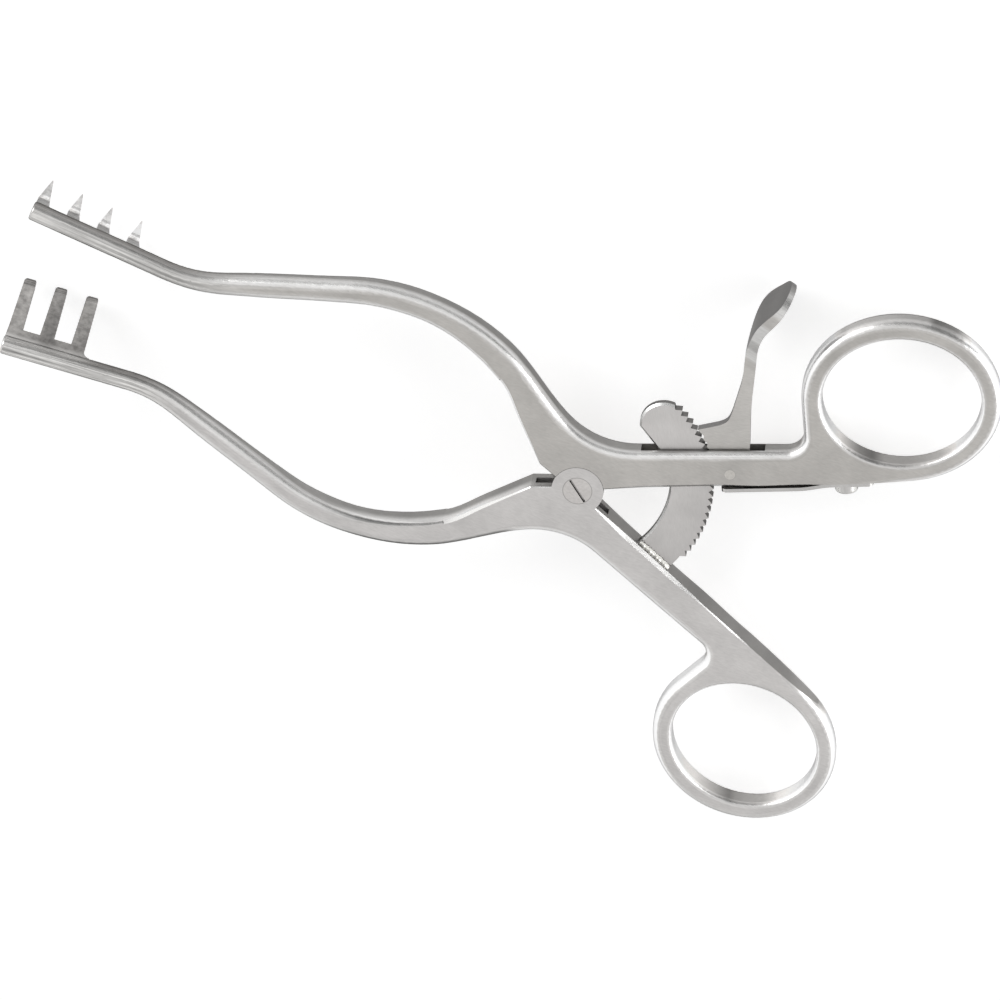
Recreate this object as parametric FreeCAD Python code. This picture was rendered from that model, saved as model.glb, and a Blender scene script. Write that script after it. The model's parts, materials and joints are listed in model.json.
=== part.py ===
import FreeCAD, Part
import math
import os

from FreeCAD import Placement, Rotation, Vector

# Self retaining retractor, 3 by 4 sharp prongs, in millimetres.
# It is drawn in its own plane: the pivot stands at the origin along Z, the rings lie towards +X,
# the jaws towards -X, the upper arm towards +Y, and the prongs hang down -Z. The mid-plane of the
# joint is Z = 0. The last step lays it down on its prong tips and rings, as on a table.

# Joint
joint_thickness = 4.1
disc_radius = 3.65
tongue_thickness = 1.4
tongue_radius = 3.3
joint_slot_radius = 6.0
running_clearance = 0.05
pin_clearance = 0.03
screw_shank_radius = 1.3
screw_head_radius = 2.05
screw_head_depth = 0.8
driver_slot_width = 0.35
driver_slot_depth = 0.3

# Shafts, from the end of a jaw to the root at the joint
upper_jaw_end = 84.1
lower_jaw_end = 82.3
bend_x = 60.1
bend_y = 8.9
bend_radius = 19.0
jaw_toe = math.radians(4.5)
bow_x = 29.7
bow_top = 18.0
bow_radius = 28.0
root_heading = math.radians(32.0)
outer_round = 1.3
edge_break = 0.45
stoned_edge = 0.14
jaw_section = dict(width=2.6, thickness=2.6, outer=1.2, inner=1.2)
rise_section = dict(width=3.3, thickness=3.4, outer=1.5, inner=1.5)
bow_section = dict(width=3.4, thickness=3.9, outer=1.4, inner=1.0)
root_section = dict(width=4.0, thickness=joint_thickness, outer=outer_round, inner=edge_break)
sections_along_shaft = 22

# Prongs
prong_pitch = 4.55
prong_root_width = 2.05
prong_width = 1.7
prong_lean_back = 0.45
prong_thickness = 1.3
prong_bend_depth = 11.7
prong_lean = 4.5
prong_bend_radius = 2.0
tip_drop = 2.5
tip_out = 2.6
point_width = 0.12
comb_depth = 2.5
comb_fillet = 1.0
upper_prongs = 4
lower_prongs = 3
first_prong_inset = 1.05

# Plate of each arm: hollow behind the joint, handle and ring
crotch_x = 6.3
crotch_y = 1.95
elbow_run = 7.5
elbow_heading = math.radians(-47.0)
disc_left = math.radians(168.0)
disc_right = math.radians(26.0)
hollow_radius = 12.0
hollow_x = 1.0
hollow_y = 7.8
hollow_heading = math.radians(28.0)
handle_outer_slope = math.radians(22.8)
handle_inner_slope = math.radians(24.2)
ring_x = 36.4
ring_y = 29.9
ring_turn = math.radians(17.0)
ring_hole_long = 10.9
ring_hole_short = 9.6
ring_band = 2.8
ring_inner_round = 0.7
ring_thickness = 3.3
crotch_fillet = 2.4
web_heading = math.radians(-64.7)
taper_start = 8.0
# Distance from the joint's disc along the inner side, and the width stoned off the edge there
stoned_handle = [(0, 0.15), (3, 0.35), (6, 0.5), (10, 0.5), (14, 0.5), (17, 0.42), (19, 0.27),
                 (21, 0.15), (24, 0.14), (29, 0.14), (33, 0.02)]

# Ratchet bar
tooth_tip_radius = 19.2
tooth_depth = 0.7
tooth_pitch = math.radians(3.6)
tooth_drop = math.radians(1.5)
tooth_count = 23
first_tip = math.radians(64.8)
level_until = math.radians(40.0)
arc_fall = 0.8
bar_inner_x = -0.9
bar_inner_y = 1.0
bar_inner_radius = tooth_tip_radius - 5.93
bar_end_radius = 3.4
bar_end_distance = tooth_tip_radius - bar_end_radius - 0.1
bar_end_angle = math.radians(60.5)
bar_chop = bar_inner_radius - 0.52
bar_chop_angle = math.radians(56.7)
bar_seat_depth = 3.0
bar_thickness = 1.4
bar_bevel = 0.3

# Release lever and its slot in the upper handle
slot_width = 2.0
slot_heading = math.radians(23.4)
slot_start = 9.1
slot_beyond_pin = 4.8
pin_beyond_teeth = 2.32
pin_angle = math.radians(29.66)
pin_radius = 0.75
heel_radius = 2.3
lever_height = 29.7
lever_thickness = 1.4
nose_clearance = 0.06
nose_tooth_depth = 0.3
nose_top = math.radians(50.4)
nose_bottom = math.radians(37.1)
lever_hole_clearance = 0.03
paddle_radius = 4.5
paddle_back = 3.3
paddle_heading = math.radians(75.7)

# Leaf spring and its screw, measured along the handle's inner side from the joint disc
spring_width = 3.3
spring_thickness = 0.55
spring_tail = 37.5
spring_lift_from = 32.0
spring_tip = tooth_tip_radius - disc_radius + 0.85
spring_joggle = 5.0
spring_gap = 0.5
spring_screw_along = 33.7
spring_screw_head_radius = 1.6
spring_screw_head_height = 1.3
spring_screw_shank_radius = 0.8
spring_screw_length = 2.6


def polar(radius, angle):
    return Vector(radius * math.cos(angle), radius * math.sin(angle), 0)


pin_centre = polar(tooth_tip_radius + pin_beyond_teeth, pin_angle)


def line(start, end):
    return Part.makeLine(start, end)


def arc(start, middle, end):
    return Part.Arc(start, middle, end).toShape()


def curve(points, start_heading, end_heading):
    spline = Part.BSplineCurve()
    spline.interpolate(Points=points, InitialTangent=polar(1, start_heading),
                       FinalTangent=polar(1, end_heading))
    return spline.toShape()


def face_of(edges):
    return Part.Face(Part.Wire(Part.__sortEdges__(edges)))


def slab(face, thickness):
    """A flat face in XY grown evenly to both sides of the mid-plane."""
    moved = face.copy()
    moved.translate(Vector(0, 0, -thickness / 2))
    return moved.extrude(Vector(0, 0, thickness))


def disc(radius, thickness, x=0.0, y=0.0, z=None):
    low = -thickness / 2 if z is None else z
    return Part.makeCylinder(radius, thickness, Vector(x, y, low))


def mirrored(shape):
    return shape.mirror(Vector(0, 0, 0), Vector(0, 1, 0))


def edges_where(shape, wanted):
    """The edges whose middle point answers to the test."""
    found = []
    for edge in shape.Edges:
        middle = edge.valueAt((edge.FirstParameter + edge.LastParameter) / 2)
        if wanted(middle, edge):
            found.append(edge)
    return found


# The centre line of a shaft: jaw run, bend, rising run and bow, each tangent to the next.

corner = Vector(-bend_x, bend_y, 0)
bow_centre = Vector(-bow_x, bow_top - bow_radius, 0)
to_bow = bow_centre - corner
rise = math.atan2(to_bow.y, to_bow.x) + math.asin(bow_radius / to_bow.Length)
bend_turn = rise + jaw_toe
bend_cut = bend_radius * math.tan(bend_turn / 2)
rise_run = math.sqrt(to_bow.Length ** 2 - bow_radius ** 2) - bend_cut
bend_run = bend_radius * bend_turn
bow_run = bow_radius * (rise + root_heading)


def jaw_run(jaw_end):
    return (jaw_end - bend_x) / math.cos(jaw_toe) - bend_cut


def along_shaft(jaw_end, distance):
    """The point and heading of the centre line at a distance from the end of the jaw."""
    first = jaw_run(jaw_end)
    if distance < first:
        return corner - polar(bend_cut + first - distance, -jaw_toe), -jaw_toe
    distance -= first
    if distance < bend_run:
        heading = distance / bend_radius - jaw_toe
        centre = corner - polar(bend_cut, -jaw_toe) + polar(bend_radius, math.pi / 2 - jaw_toe)
        return centre + polar(bend_radius, heading - math.pi / 2), heading
    distance -= bend_run
    if distance < rise_run:
        return corner + polar(bend_cut + distance, rise), rise
    heading = rise - (distance - rise_run) / bow_radius
    return bow_centre + polar(bow_radius, heading + math.pi / 2), heading


def blended(low, high, share):
    eased = share * share * (3 - 2 * share)
    return {key: low[key] + (high[key] - low[key]) * eased for key in low}


def section_sizes(jaw_end, distance):
    """The width, thickness and corner rounds of the shaft at a distance from the jaw's end."""
    marks = [0, jaw_run(jaw_end), jaw_run(jaw_end) + bend_run + rise_run * 0.5]
    marks += [marks[1] + bend_run + rise_run + bow_radius * rise]
    marks += [marks[1] + bend_run + rise_run + bow_run]
    kinds = [jaw_section, jaw_section, rise_section, bow_section, root_section]
    for index in range(len(marks) - 1):
        if distance <= marks[index + 1] or index == len(marks) - 2:
            share = (distance - marks[index]) / (marks[index + 1] - marks[index])
            return blended(kinds[index], kinds[index + 1], share)


def rounded_section(point, heading, width, thickness, outer, inner):
    """A rounded rectangle across the shaft, with its outer side along +Y."""
    side = polar(1, heading + math.pi / 2)
    up = Vector(0, 0, 1)

    def spot(across, height):
        return point + side * across + up * height

    edges = []
    corners = [(1, 1, outer), (-1, 1, inner), (-1, -1, inner), (1, -1, outer)]
    diagonal = 1 - math.sqrt(0.5)
    last = spot(width / 2, -thickness / 2 + outer)
    for index, (across, height, round_) in enumerate(corners):
        x, z = across * width / 2, height * thickness / 2
        on_side = spot(x, z - height * round_)
        on_face = spot(x - across * round_, z)
        middle = spot(x - across * round_ * diagonal, z - height * round_ * diagonal)
        start, end = (on_side, on_face) if index % 2 == 0 else (on_face, on_side)
        edges.append(line(last, start))
        edges.append(arc(start, middle, end))
        last = end
    return Part.Wire(edges)


def shaft(jaw_end):
    total = jaw_run(jaw_end) + bend_run + rise_run + bow_run
    wires = []
    for index in range(sections_along_shaft):
        distance = total * index / (sections_along_shaft - 1)
        point, heading = along_shaft(jaw_end, distance)
        wires.append(rounded_section(point, heading, **section_sizes(jaw_end, distance)))
    return Part.makeLoft(wires, True)


# The plate of an arm, from the root of its shaft to the ring.

root_point = bow_centre + polar(bow_radius, math.pi / 2 - root_heading)
root_side = polar(root_section["width"] / 2, math.pi / 2 - root_heading)
root_outer = root_point + root_side
root_inner = root_point - root_side
hollow_centre = Vector(hollow_x, hollow_y + hollow_radius, 0)
hollow_start = hollow_centre + polar(hollow_radius, -math.pi / 2 - hollow_heading)
hollow_end = hollow_centre + polar(hollow_radius, -math.pi / 2 + handle_outer_slope)
crotch = Vector(-crotch_x, crotch_y, 0)
disc_meets_handle = polar(disc_radius, disc_right)
ring_centre = Vector(ring_x, ring_y, 0)
ring_long = ring_hole_long + ring_band
ring_short = ring_hole_short + ring_band
plate_far = ring_x + ring_long + 1


def oval_point(long_radius, short_radius, angle):
    flat = Vector(long_radius * math.cos(angle), short_radius * math.sin(angle), 0)
    return ring_centre + polar(flat.x, ring_turn) + polar(flat.y, ring_turn + math.pi / 2)


def oval_where_heading(long_radius, short_radius, heading):
    """The point of the oval where its edge, followed anticlockwise, has this heading."""
    turn = heading - ring_turn
    angle = math.atan2(-math.cos(turn) / long_radius, math.sin(turn) / short_radius)
    return oval_point(long_radius, short_radius, angle)


def crossing(first, first_heading, second, second_heading):
    """Where two lines cross."""
    across = polar(1, second_heading + math.pi / 2)
    way = polar(1, first_heading)
    return first + way * ((second - first).dot(across) / way.dot(across))


def oval_face(long_radius, short_radius):
    shape = Part.Ellipse(Vector(0, 0, 0), long_radius, short_radius).toShape()
    shape.rotate(Vector(0, 0, 0), Vector(0, 0, 1), math.degrees(ring_turn))
    shape.translate(ring_centre)
    return Part.Face(Part.Wire(shape))


def taper_top():
    """The upper line of the plate seen from the side, where it thins towards the ring."""
    half_joint = joint_thickness / 2
    half_ring = ring_thickness / 2
    return curve([Vector(taper_start, half_joint, 0), Vector(plate_far, half_ring, 0)], 0,
                 math.atan2(half_ring - half_joint, plate_far - taper_start) * 1.4)


def half_thickness(x):
    if x <= taper_start:
        return joint_thickness / 2
    top = taper_top().Curve
    low, high = top.FirstParameter, top.LastParameter
    for step in range(30):
        middle = (low + high) / 2
        if top.value(middle).x < x:
            low = middle
        else:
            high = middle
    return top.value(low).y


def broken_edge(points, widths):
    """The sliver stoned off a sharp edge of the inner side, above and below."""
    spare = 3 * stoned_edge
    wires = []
    for index, (point, width) in enumerate(zip(points, widths)):
        way = points[min(index + 1, len(points) - 1)] - points[max(index - 1, 0)]
        way.normalize()
        inward = Vector(-way.y, way.x, 0)
        top = half_thickness(point.x)
        outside = point - inward * spare
        corners = [point + inward * (width + spare) + Vector(0, 0, top + spare),
                   outside + Vector(0, 0, top - width - spare),
                   outside + Vector(0, 0, top + spare)]
        wires.append(Part.makePolygon(corners + corners[:1]))
    above = Part.makeLoft(wires, True)
    return [above, above.mirror(Vector(0, 0, 0), Vector(0, 0, 1))]


def tapered(shape):
    """Thins the plate from the joint's thickness down to the ring's."""
    half_joint = joint_thickness / 2
    half_ring = ring_thickness / 2
    left = Vector(-2 * bow_x, half_joint, 0)
    far = Vector(plate_far, half_ring, 0)
    top = taper_top()
    upper_half = [line(left, Vector(taper_start, half_joint, 0)), top]
    lower_half = [edge.mirror(Vector(0, 0, 0), Vector(0, 1, 0)) for edge in upper_half]
    ends = [line(far, Vector(far.x, -far.y, 0)), line(left, Vector(left.x, -left.y, 0))]
    side_view = face_of(upper_half + lower_half + ends)
    side_view.rotate(Vector(0, 0, 0), Vector(1, 0, 0), 90)
    side_view.translate(Vector(0, plate_far, 0))
    return shape.common(side_view.extrude(Vector(0, -2 * plate_far, 0)))


# Where the outside of the ring runs out over the inner side of the handle
run_out = math.radians(-75.0)


def plate_blank():
    """Handle and ring in one, with spare stock below the handle's inner side."""
    spare = -6.0
    web_top = oval_where_heading(ring_long, ring_short, web_heading)
    web_foot = crossing(hollow_end, handle_outer_slope, web_top, web_heading)
    leaves = oval_point(ring_long, ring_short, run_out)
    before = oval_point(ring_long, ring_short, run_out - 0.001)
    along = (before - leaves).normalize()
    stock = leaves + along * 10
    below_root = root_inner - polar(6.0, math.pi / 2 - root_heading)
    edges = [curve([root_outer, hollow_start], -root_heading, -hollow_heading),
             arc(hollow_start, hollow_centre + polar(hollow_radius, -math.pi / 2), hollow_end),
             line(hollow_end, web_foot),
             line(web_foot, web_top),
             line(web_top, ring_centre),
             line(ring_centre, leaves),
             line(leaves, stock),
             line(stock, Vector(stock.x, spare, 0)),
             line(Vector(stock.x, spare, 0), Vector(below_root.x, spare, 0)),
             line(Vector(below_root.x, spare, 0), below_root),
             line(below_root, root_outer)]
    handle = slab(face_of(edges), joint_thickness)
    ring = slab(oval_face(ring_long, ring_short), joint_thickness)
    blank = handle.fuse(ring).removeSplitter()

    def in_crotch(middle, edge):
        upright = abs(edge.tangentAt(edge.FirstParameter).z) > 0.99
        return upright and (middle - web_foot).Length < 0.1

    return blank.makeFillet(crotch_fillet, edges_where(blank, in_crotch))


def along_line(start, end, count=8):
    return [start + (end - start) * (index / count) for index in range(count + 1)]


elbow = crotch - polar(elbow_run, elbow_heading)
root_curve = curve([root_inner, elbow], -root_heading, elbow_heading)
under_disc = polar(disc_radius - 0.5, disc_left)


def inner_stock():
    """What is ground away on the inner side: root, crotch, joint and handle."""
    reach = disc_meets_handle + polar(plate_far * 1.3, handle_inner_slope)
    low = -2 * plate_far
    first = root_inner - polar(4.0, -root_heading)
    return face_of([
        line(first, root_inner),
        root_curve,
        line(elbow, crotch),
        line(crotch, under_disc),
        line(under_disc, disc_meets_handle),
        line(disc_meets_handle, reach),
        line(reach, Vector(reach.x, low, 0)),
        line(Vector(reach.x, low, 0), Vector(first.x, low, 0)),
        line(Vector(first.x, low, 0), first)])


def plate():
    """The upper arm's plate before the joint is cut into it."""
    blank = tapered(plate_blank())

    def outer_rim(middle, edge):
        flat = abs(edge.tangentAt(edge.FirstParameter).z) < 0.5
        level = abs(middle.z) > ring_thickness / 2 - 0.1
        past_root = middle.x > root_outer.x + 0.5
        handle_side = (middle - disc_meets_handle).dot(polar(1, handle_inner_slope + math.pi / 2))
        seam = abs(middle.x - taper_start) < 0.01
        return flat and level and past_root and handle_side > 0 and not seam

    blank = blank.makeFillet(outer_round, edges_where(blank, outer_rim))
    below = inner_stock().extrude(Vector(0, 0, 20))
    below.translate(Vector(0, 0, -10))
    hole = slab(oval_face(ring_hole_long, ring_hole_short), 20)
    body = blank.cut(below).cut(hole)

    def hole_rim(middle, edge):
        flat = abs(edge.tangentAt(edge.FirstParameter).z) < 0.5
        near = (middle - ring_centre).Length < ring_hole_long + 0.3
        return flat and near and abs(middle.z) > ring_thickness / 2 - 0.1

    body = body.makeFillet(ring_inner_round, edges_where(body, hole_rim))
    handle_side = [disc_meets_handle + polar(run, handle_inner_slope) for run, width in stoned_handle]
    slivers = broken_edge(handle_side, [width for run, width in stoned_handle])
    arm_side = root_curve.discretize(7) + along_line(elbow, crotch)[1:]
    fading = [edge_break + (stoned_edge - edge_break) * index / (len(arm_side) - 1)
              for index in range(len(arm_side))]
    slivers += broken_edge(arm_side, fading)
    slivers += broken_edge(along_line(crotch, under_disc), [stoned_edge] * 9)
    return body.cut(slivers)


# The comb of prongs under a jaw, drawn with the jaw along X and the outside of the arm at +Y.

def comb_profile():
    """One prong seen along the jaw: a straight leaning bar, a bend and a point turned outward."""
    bar_way = math.atan2(-prong_bend_depth, -prong_lean)
    point_way = math.atan2(-tip_drop, tip_out)
    half = prong_thickness / 2
    turn = point_way - bar_way
    elbow = Vector(-prong_lean, -prong_bend_depth, 0)
    cut_back = prong_bend_radius * math.tan(turn / 2)
    bend_start = elbow - polar(cut_back, bar_way)
    centre = bend_start + polar(prong_bend_radius, bar_way + math.pi / 2)
    tip = elbow + Vector(tip_out, -tip_drop, 0)

    def round_the_bend(radius, share):
        return centre + polar(radius, bar_way - math.pi / 2 + turn * share)

    inside = prong_bend_radius - half
    outside = prong_bend_radius + half
    top_in = polar(half, bar_way + math.pi / 2)
    top_out = polar(half, bar_way - math.pi / 2)
    blunt = polar(point_width / 2, point_way + math.pi / 2)
    face = face_of([
        line(top_in, round_the_bend(inside, 0)),
        arc(round_the_bend(inside, 0), round_the_bend(inside, 0.5), round_the_bend(inside, 1)),
        line(round_the_bend(inside, 1), tip + blunt),
        line(tip + blunt, tip - blunt),
        line(tip - blunt, round_the_bend(outside, 1)),
        arc(round_the_bend(outside, 1), round_the_bend(outside, 0.5), round_the_bend(outside, 0)),
        line(round_the_bend(outside, 0), top_out),
        line(top_out, top_in)])
    face.rotate(Vector(0, 0, 0), Vector(1, 0, 0), 90)
    face.rotate(Vector(0, 0, 0), Vector(0, 0, 1), 90)
    return face


def comb(count, first):
    """Count prongs, the first one centred at X = first, joined by a web under the jaw."""
    wide = prong_root_width / 2
    narrow = prong_width / 2
    last = first + prong_pitch * (count - 1)
    taper_from = -prong_bend_depth + 0.4
    tip = -prong_bend_depth - tip_drop
    points = [Vector(first - wide, 0, 0)]
    for index in range(count):
        x = first + prong_pitch * index
        bend = x - prong_lean_back
        points += [Vector(x - wide, -comb_depth, 0), Vector(bend - narrow, taper_from, 0),
                   Vector(bend - point_width / 2, tip - 0.1, 0),
                   Vector(bend + point_width / 2, tip - 0.1, 0),
                   Vector(bend + narrow, taper_from, 0)]
        if index < count - 1:
            points.append(Vector(x + wide, -comb_depth, 0))
    heel = Vector(last + wide, -1.0 - comb_fillet, 0)
    foot = Vector(last + wide + comb_fillet, -1.0, 0)
    middle = Vector(foot.x, heel.y, 0) + polar(comb_fillet, math.radians(135))
    edges = [line(a, b) for a, b in zip(points, points[1:])]
    edges += [line(points[-1], heel), arc(heel, middle, foot), line(foot, Vector(foot.x, 0, 0)),
              line(Vector(foot.x, 0, 0), points[0])]
    front = face_of(edges)
    front.rotate(Vector(0, 0, 0), Vector(1, 0, 0), 90)
    front.translate(Vector(0, 20, 0))
    profile = comb_profile()
    profile.translate(Vector(first - prong_pitch, 0, 0))
    strip = profile.extrude(Vector(prong_pitch * (count + 2), 0, 0))
    shape = strip.common(front.extrude(Vector(0, -40, 0)))
    shape.rotate(Vector(0, 0, 0), Vector(0, 0, 1), -math.degrees(jaw_toe))
    shape.translate(corner)
    return shape


def blank_arm(jaw_end, prongs):
    """Shaft, comb and plate of one arm, drawn as the upper one."""
    first = -(jaw_end - bend_x) / math.cos(jaw_toe) + first_prong_inset
    stem = shaft(jaw_end)

    def end_rim(middle, edge):
        return abs(middle.x + jaw_end) < 0.15

    stem = stem.makeFillet(0.3, edges_where(stem, end_rim))
    return stem.fuse([comb(prongs, first), plate()]).removeSplitter()


# Joint: the upper arm carries a thin tongue that turns between two cheeks of the lower arm.

def pivot_screw_blank():
    front = joint_thickness / 2
    body = disc(screw_head_radius, screw_head_depth, z=front - screw_head_depth)
    return body.fuse(disc(screw_shank_radius, joint_thickness, z=-front)).removeSplitter()


def pivot_screw():
    front = joint_thickness / 2
    driver = Part.makeBox(screw_head_radius * 1.9, driver_slot_width, 2)
    driver.translate(Vector(-screw_head_radius * 0.95, -driver_slot_width / 2,
                            front - driver_slot_depth))
    driver.rotate(Vector(0, 0, 0), Vector(0, 0, 1), -39)
    return pivot_screw_blank().cut(driver)


def joint_slot():
    return disc(joint_slot_radius, tongue_thickness + 2 * running_clearance)


def make_upper_arm():
    body = blank_arm(upper_jaw_end, upper_prongs)
    cheek = disc(disc_radius + running_clearance, joint_thickness)
    layer = disc(disc_radius + 1, tongue_thickness)
    body = body.cut(cheek.cut(layer))
    body = body.fuse(disc(tongue_radius, tongue_thickness)).removeSplitter()
    body = body.cut(disc(screw_shank_radius + pin_clearance, joint_thickness))
    slot_run = pin_centre.Length + slot_beyond_pin - slot_start
    slot = Part.makeBox(slot_run, 4 * joint_thickness, slot_width)
    slot.translate(Vector(slot_start, -2 * joint_thickness, -slot_width / 2))
    slot.rotate(Vector(0, 0, 0), Vector(0, 0, 1), math.degrees(slot_heading))
    body = body.cut(slot)
    body = body.cut(disc(pin_radius, joint_thickness * 2, pin_centre.x, pin_centre.y))
    return body.cut(spring_screw_shank())


def make_lower_arm(bar):
    body = mirrored(blank_arm(lower_jaw_end, lower_prongs))
    body = body.fuse(disc(disc_radius, joint_thickness)).removeSplitter()
    return body.cut(joint_slot()).cut(bar).cut(pivot_screw_blank())


# Ratchet bar, let into the lower handle.

def meets_circle(start, heading, centre, radius):
    """Where a ray last crosses a circle."""
    way = polar(1, heading)
    along = (centre - start).dot(way)
    away = ((centre - start) - way * along).Length
    return start + way * (along + math.sqrt(radius ** 2 - away ** 2))


def tooth_radius(angle):
    """The teeth keep one radius where the nose meets them and then draw in a little."""
    beyond = max(0, level_until - angle) / (level_until - first_tip + tooth_pitch * tooth_count)
    return tooth_tip_radius - arc_fall * beyond


def ratchet_bar():
    tips = [first_tip - tooth_pitch * index for index in range(tooth_count)]
    points = []
    for tip in tips:
        gap = tip - tooth_drop
        points += [polar(tooth_radius(tip), tip), polar(tooth_radius(gap) - tooth_depth, gap)]
    end_centre = polar(bar_end_distance, bar_end_angle)
    points[0] = meets_circle(Vector(0, 0, 0), first_tip, end_centre, bar_end_radius)
    root = points[-1].Length
    inner_centre = Vector(bar_inner_x, bar_inner_y, 0)
    side = Vector(disc_meets_handle.x, -disc_meets_handle.y, 0)
    seat = side - polar(bar_seat_depth, math.pi / 2 - handle_inner_slope)
    outer_seat = meets_circle(seat, -handle_inner_slope, Vector(0, 0, 0), root)
    inner_seat = meets_circle(seat, -handle_inner_slope, inner_centre, bar_inner_radius)
    chop_foot = polar(bar_chop, bar_chop_angle)
    chop_start = meets_circle(chop_foot, bar_chop_angle - math.pi / 2, inner_centre,
                              bar_inner_radius)
    chop_end = meets_circle(chop_foot, bar_chop_angle + math.pi / 2, end_centre, bar_end_radius)
    last = math.atan2(points[-1].y, points[-1].x)
    seat_angle = math.atan2(outer_seat.y, outer_seat.x)
    inner_middle = inner_centre + polar(bar_inner_radius, 0)
    end_middle = end_centre + polar(bar_end_radius, math.radians(135))
    edges = [line(a, b) for a, b in zip(points, points[1:])]
    edges += [arc(points[-1], polar(root, (last + seat_angle) / 2), outer_seat),
              line(outer_seat, inner_seat), arc(inner_seat, inner_middle, chop_start),
              line(chop_start, chop_end), arc(chop_end, end_middle, points[0])]
    bar = slab(face_of(edges), bar_thickness)

    def bevelled(middle, edge):
        flat = abs(edge.tangentAt(edge.FirstParameter).z) < 0.5
        radius = math.hypot(middle.x, middle.y)
        smooth = edge.Length > 3 and radius < root - 0.3
        handle_side = (middle - seat).dot(polar(1, math.pi / 2 - handle_inner_slope))
        return flat and smooth and handle_side > 0.1

    return bar.makeChamfer(bar_bevel, edges_where(bar, bevelled))


# Release lever: a toothed nose, a stem and a thumb paddle that faces the ring. The sides of the
# stem are given from the pin, as shares of the lever's height.

stem_left = [(-0.138, 0.197), (-0.101, 0.258), (-0.106, 0.345), (-0.121, 0.473), (-0.1515, 0.5875),
             (-0.165, 0.702), (-0.163, 0.7795), (-0.1415, 0.850), (-0.0995, 0.931),
             (-0.081, 0.995)]
stem_right = [(0.042, 0.143), (-0.0285, 0.342), (-0.069, 0.490), (-0.1045, 0.618),
              (-0.118, 0.6985), (-0.1145, 0.773), (-0.079, 0.8805), (-0.0555, 0.988)]


def from_pin(share):
    return pin_centre + Vector(share[0], share[1], 0) * lever_height


def lever_profile():
    """The lever seen along the pivot's axis."""
    face_radius = tooth_tip_radius + nose_clearance
    nose = [polar(face_radius, nose_top)]
    for index in range(tooth_count):
        tip = first_tip - tooth_pitch * index
        if nose_bottom + 0.01 < tip < nose_top - 0.01:
            nose.append(polar(face_radius + nose_tooth_depth, tip))
            nose.append(polar(face_radius, max(tip - tooth_drop, nose_bottom)))
    if math.degrees(math.atan2(nose[-1].y, nose[-1].x)) > math.degrees(nose_bottom) + 0.2:
        nose.append(polar(face_radius + 0.08, nose_bottom))
    heel_left = pin_centre + polar(heel_radius, math.radians(205))
    heel_low = pin_centre + polar(heel_radius, math.radians(290))
    heel_right = pin_centre + polar(heel_radius, math.radians(10))
    left = [from_pin(share) for share in stem_left]
    right = [from_pin(share) for share in stem_right]
    top = from_pin((-0.0655, 1.0))
    edges = [line(a, b) for a, b in zip(nose, nose[1:])]
    edges += [line(nose[-1], heel_left), arc(heel_left, heel_low, heel_right),
              curve([heel_right] + right, math.radians(100), math.radians(78)),
              arc(right[-1], top, left[-1]),
              curve(list(reversed(left)), math.radians(-108), math.radians(-142)),
              line(left[0], nose[0])]
    return face_of(edges)


def paddle_outline():
    """The lever seen square on to its paddle: a narrow stem that widens to a round pad."""
    half = lever_thickness / 2
    meets = math.radians(115)
    joins = polar(paddle_radius, meets)
    flare = [Vector(-2.11 * paddle_radius, half, 0), Vector(-1.56, 0.256, 0) * paddle_radius,
             Vector(-1.0, 0.61, 0) * paddle_radius, joins]
    side = curve(flare, 0, meets - math.pi / 2)
    foot = -1.2 * lever_height
    stem = line(Vector(foot, half, 0), flare[0])
    other = [edge.mirror(Vector(0, 0, 0), Vector(0, 1, 0)) for edge in (side, stem)]
    low = Vector(joins.x, -joins.y, 0)
    face = face_of([side, stem] + other + [arc(joins, Vector(paddle_radius, 0, 0), low),
                                          line(Vector(foot, half, 0), Vector(foot, -half, 0))])
    face.rotate(Vector(0, 0, 0), Vector(1, 0, 0), 90)
    face.rotate(Vector(0, 0, 0), Vector(0, 0, 1), math.degrees(paddle_heading))
    face.translate(pin_centre + Vector(-paddle_back, lever_height - 1.033 * paddle_radius, 0))
    return face


def release_lever():
    profile = slab(lever_profile(), 2 * paddle_radius + 2)
    across = polar(1, paddle_heading - math.pi / 2)
    outline = paddle_outline()
    outline.translate(across * -lever_height)
    body = profile.common(outline.extrude(across * 2 * lever_height))
    hole = disc(pin_radius + lever_hole_clearance, joint_thickness, pin_centre.x, pin_centre.y)
    return body.cut(hole)


# Leaf spring and its screw, on the inner side of the upper handle.

def beside_handle(shape):
    """Moves a shape drawn along X, with the handle at +Y, to the handle's inner side."""
    shape.rotate(Vector(0, 0, 0), Vector(0, 0, 1), math.degrees(handle_inner_slope))
    shape.translate(disc_meets_handle)
    return shape


def spring_screw_shank():
    shank = Part.makeCylinder(spring_screw_shank_radius, spring_screw_length + spring_thickness,
                              Vector(spring_screw_along, -spring_thickness, 0), Vector(0, 1, 0))
    return beside_handle(shank)


def spring_screw():
    low = -spring_thickness - spring_screw_head_height
    head = Part.makeCylinder(spring_screw_head_radius, spring_screw_head_height,
                             Vector(spring_screw_along, low, 0), Vector(0, 1, 0))
    head = head.makeFillet(0.45, edges_where(head, lambda middle, edge: middle.y < low + 0.01
                                             and edge.Length > 5))
    driver = Part.makeBox(spring_screw_head_radius * 3, 0.35, 0.4)
    driver.translate(Vector(spring_screw_along - spring_screw_head_radius * 1.5, low, -0.2))
    return beside_handle(head.cut(driver)).fuse(spring_screw_shank()).removeSplitter()


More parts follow.
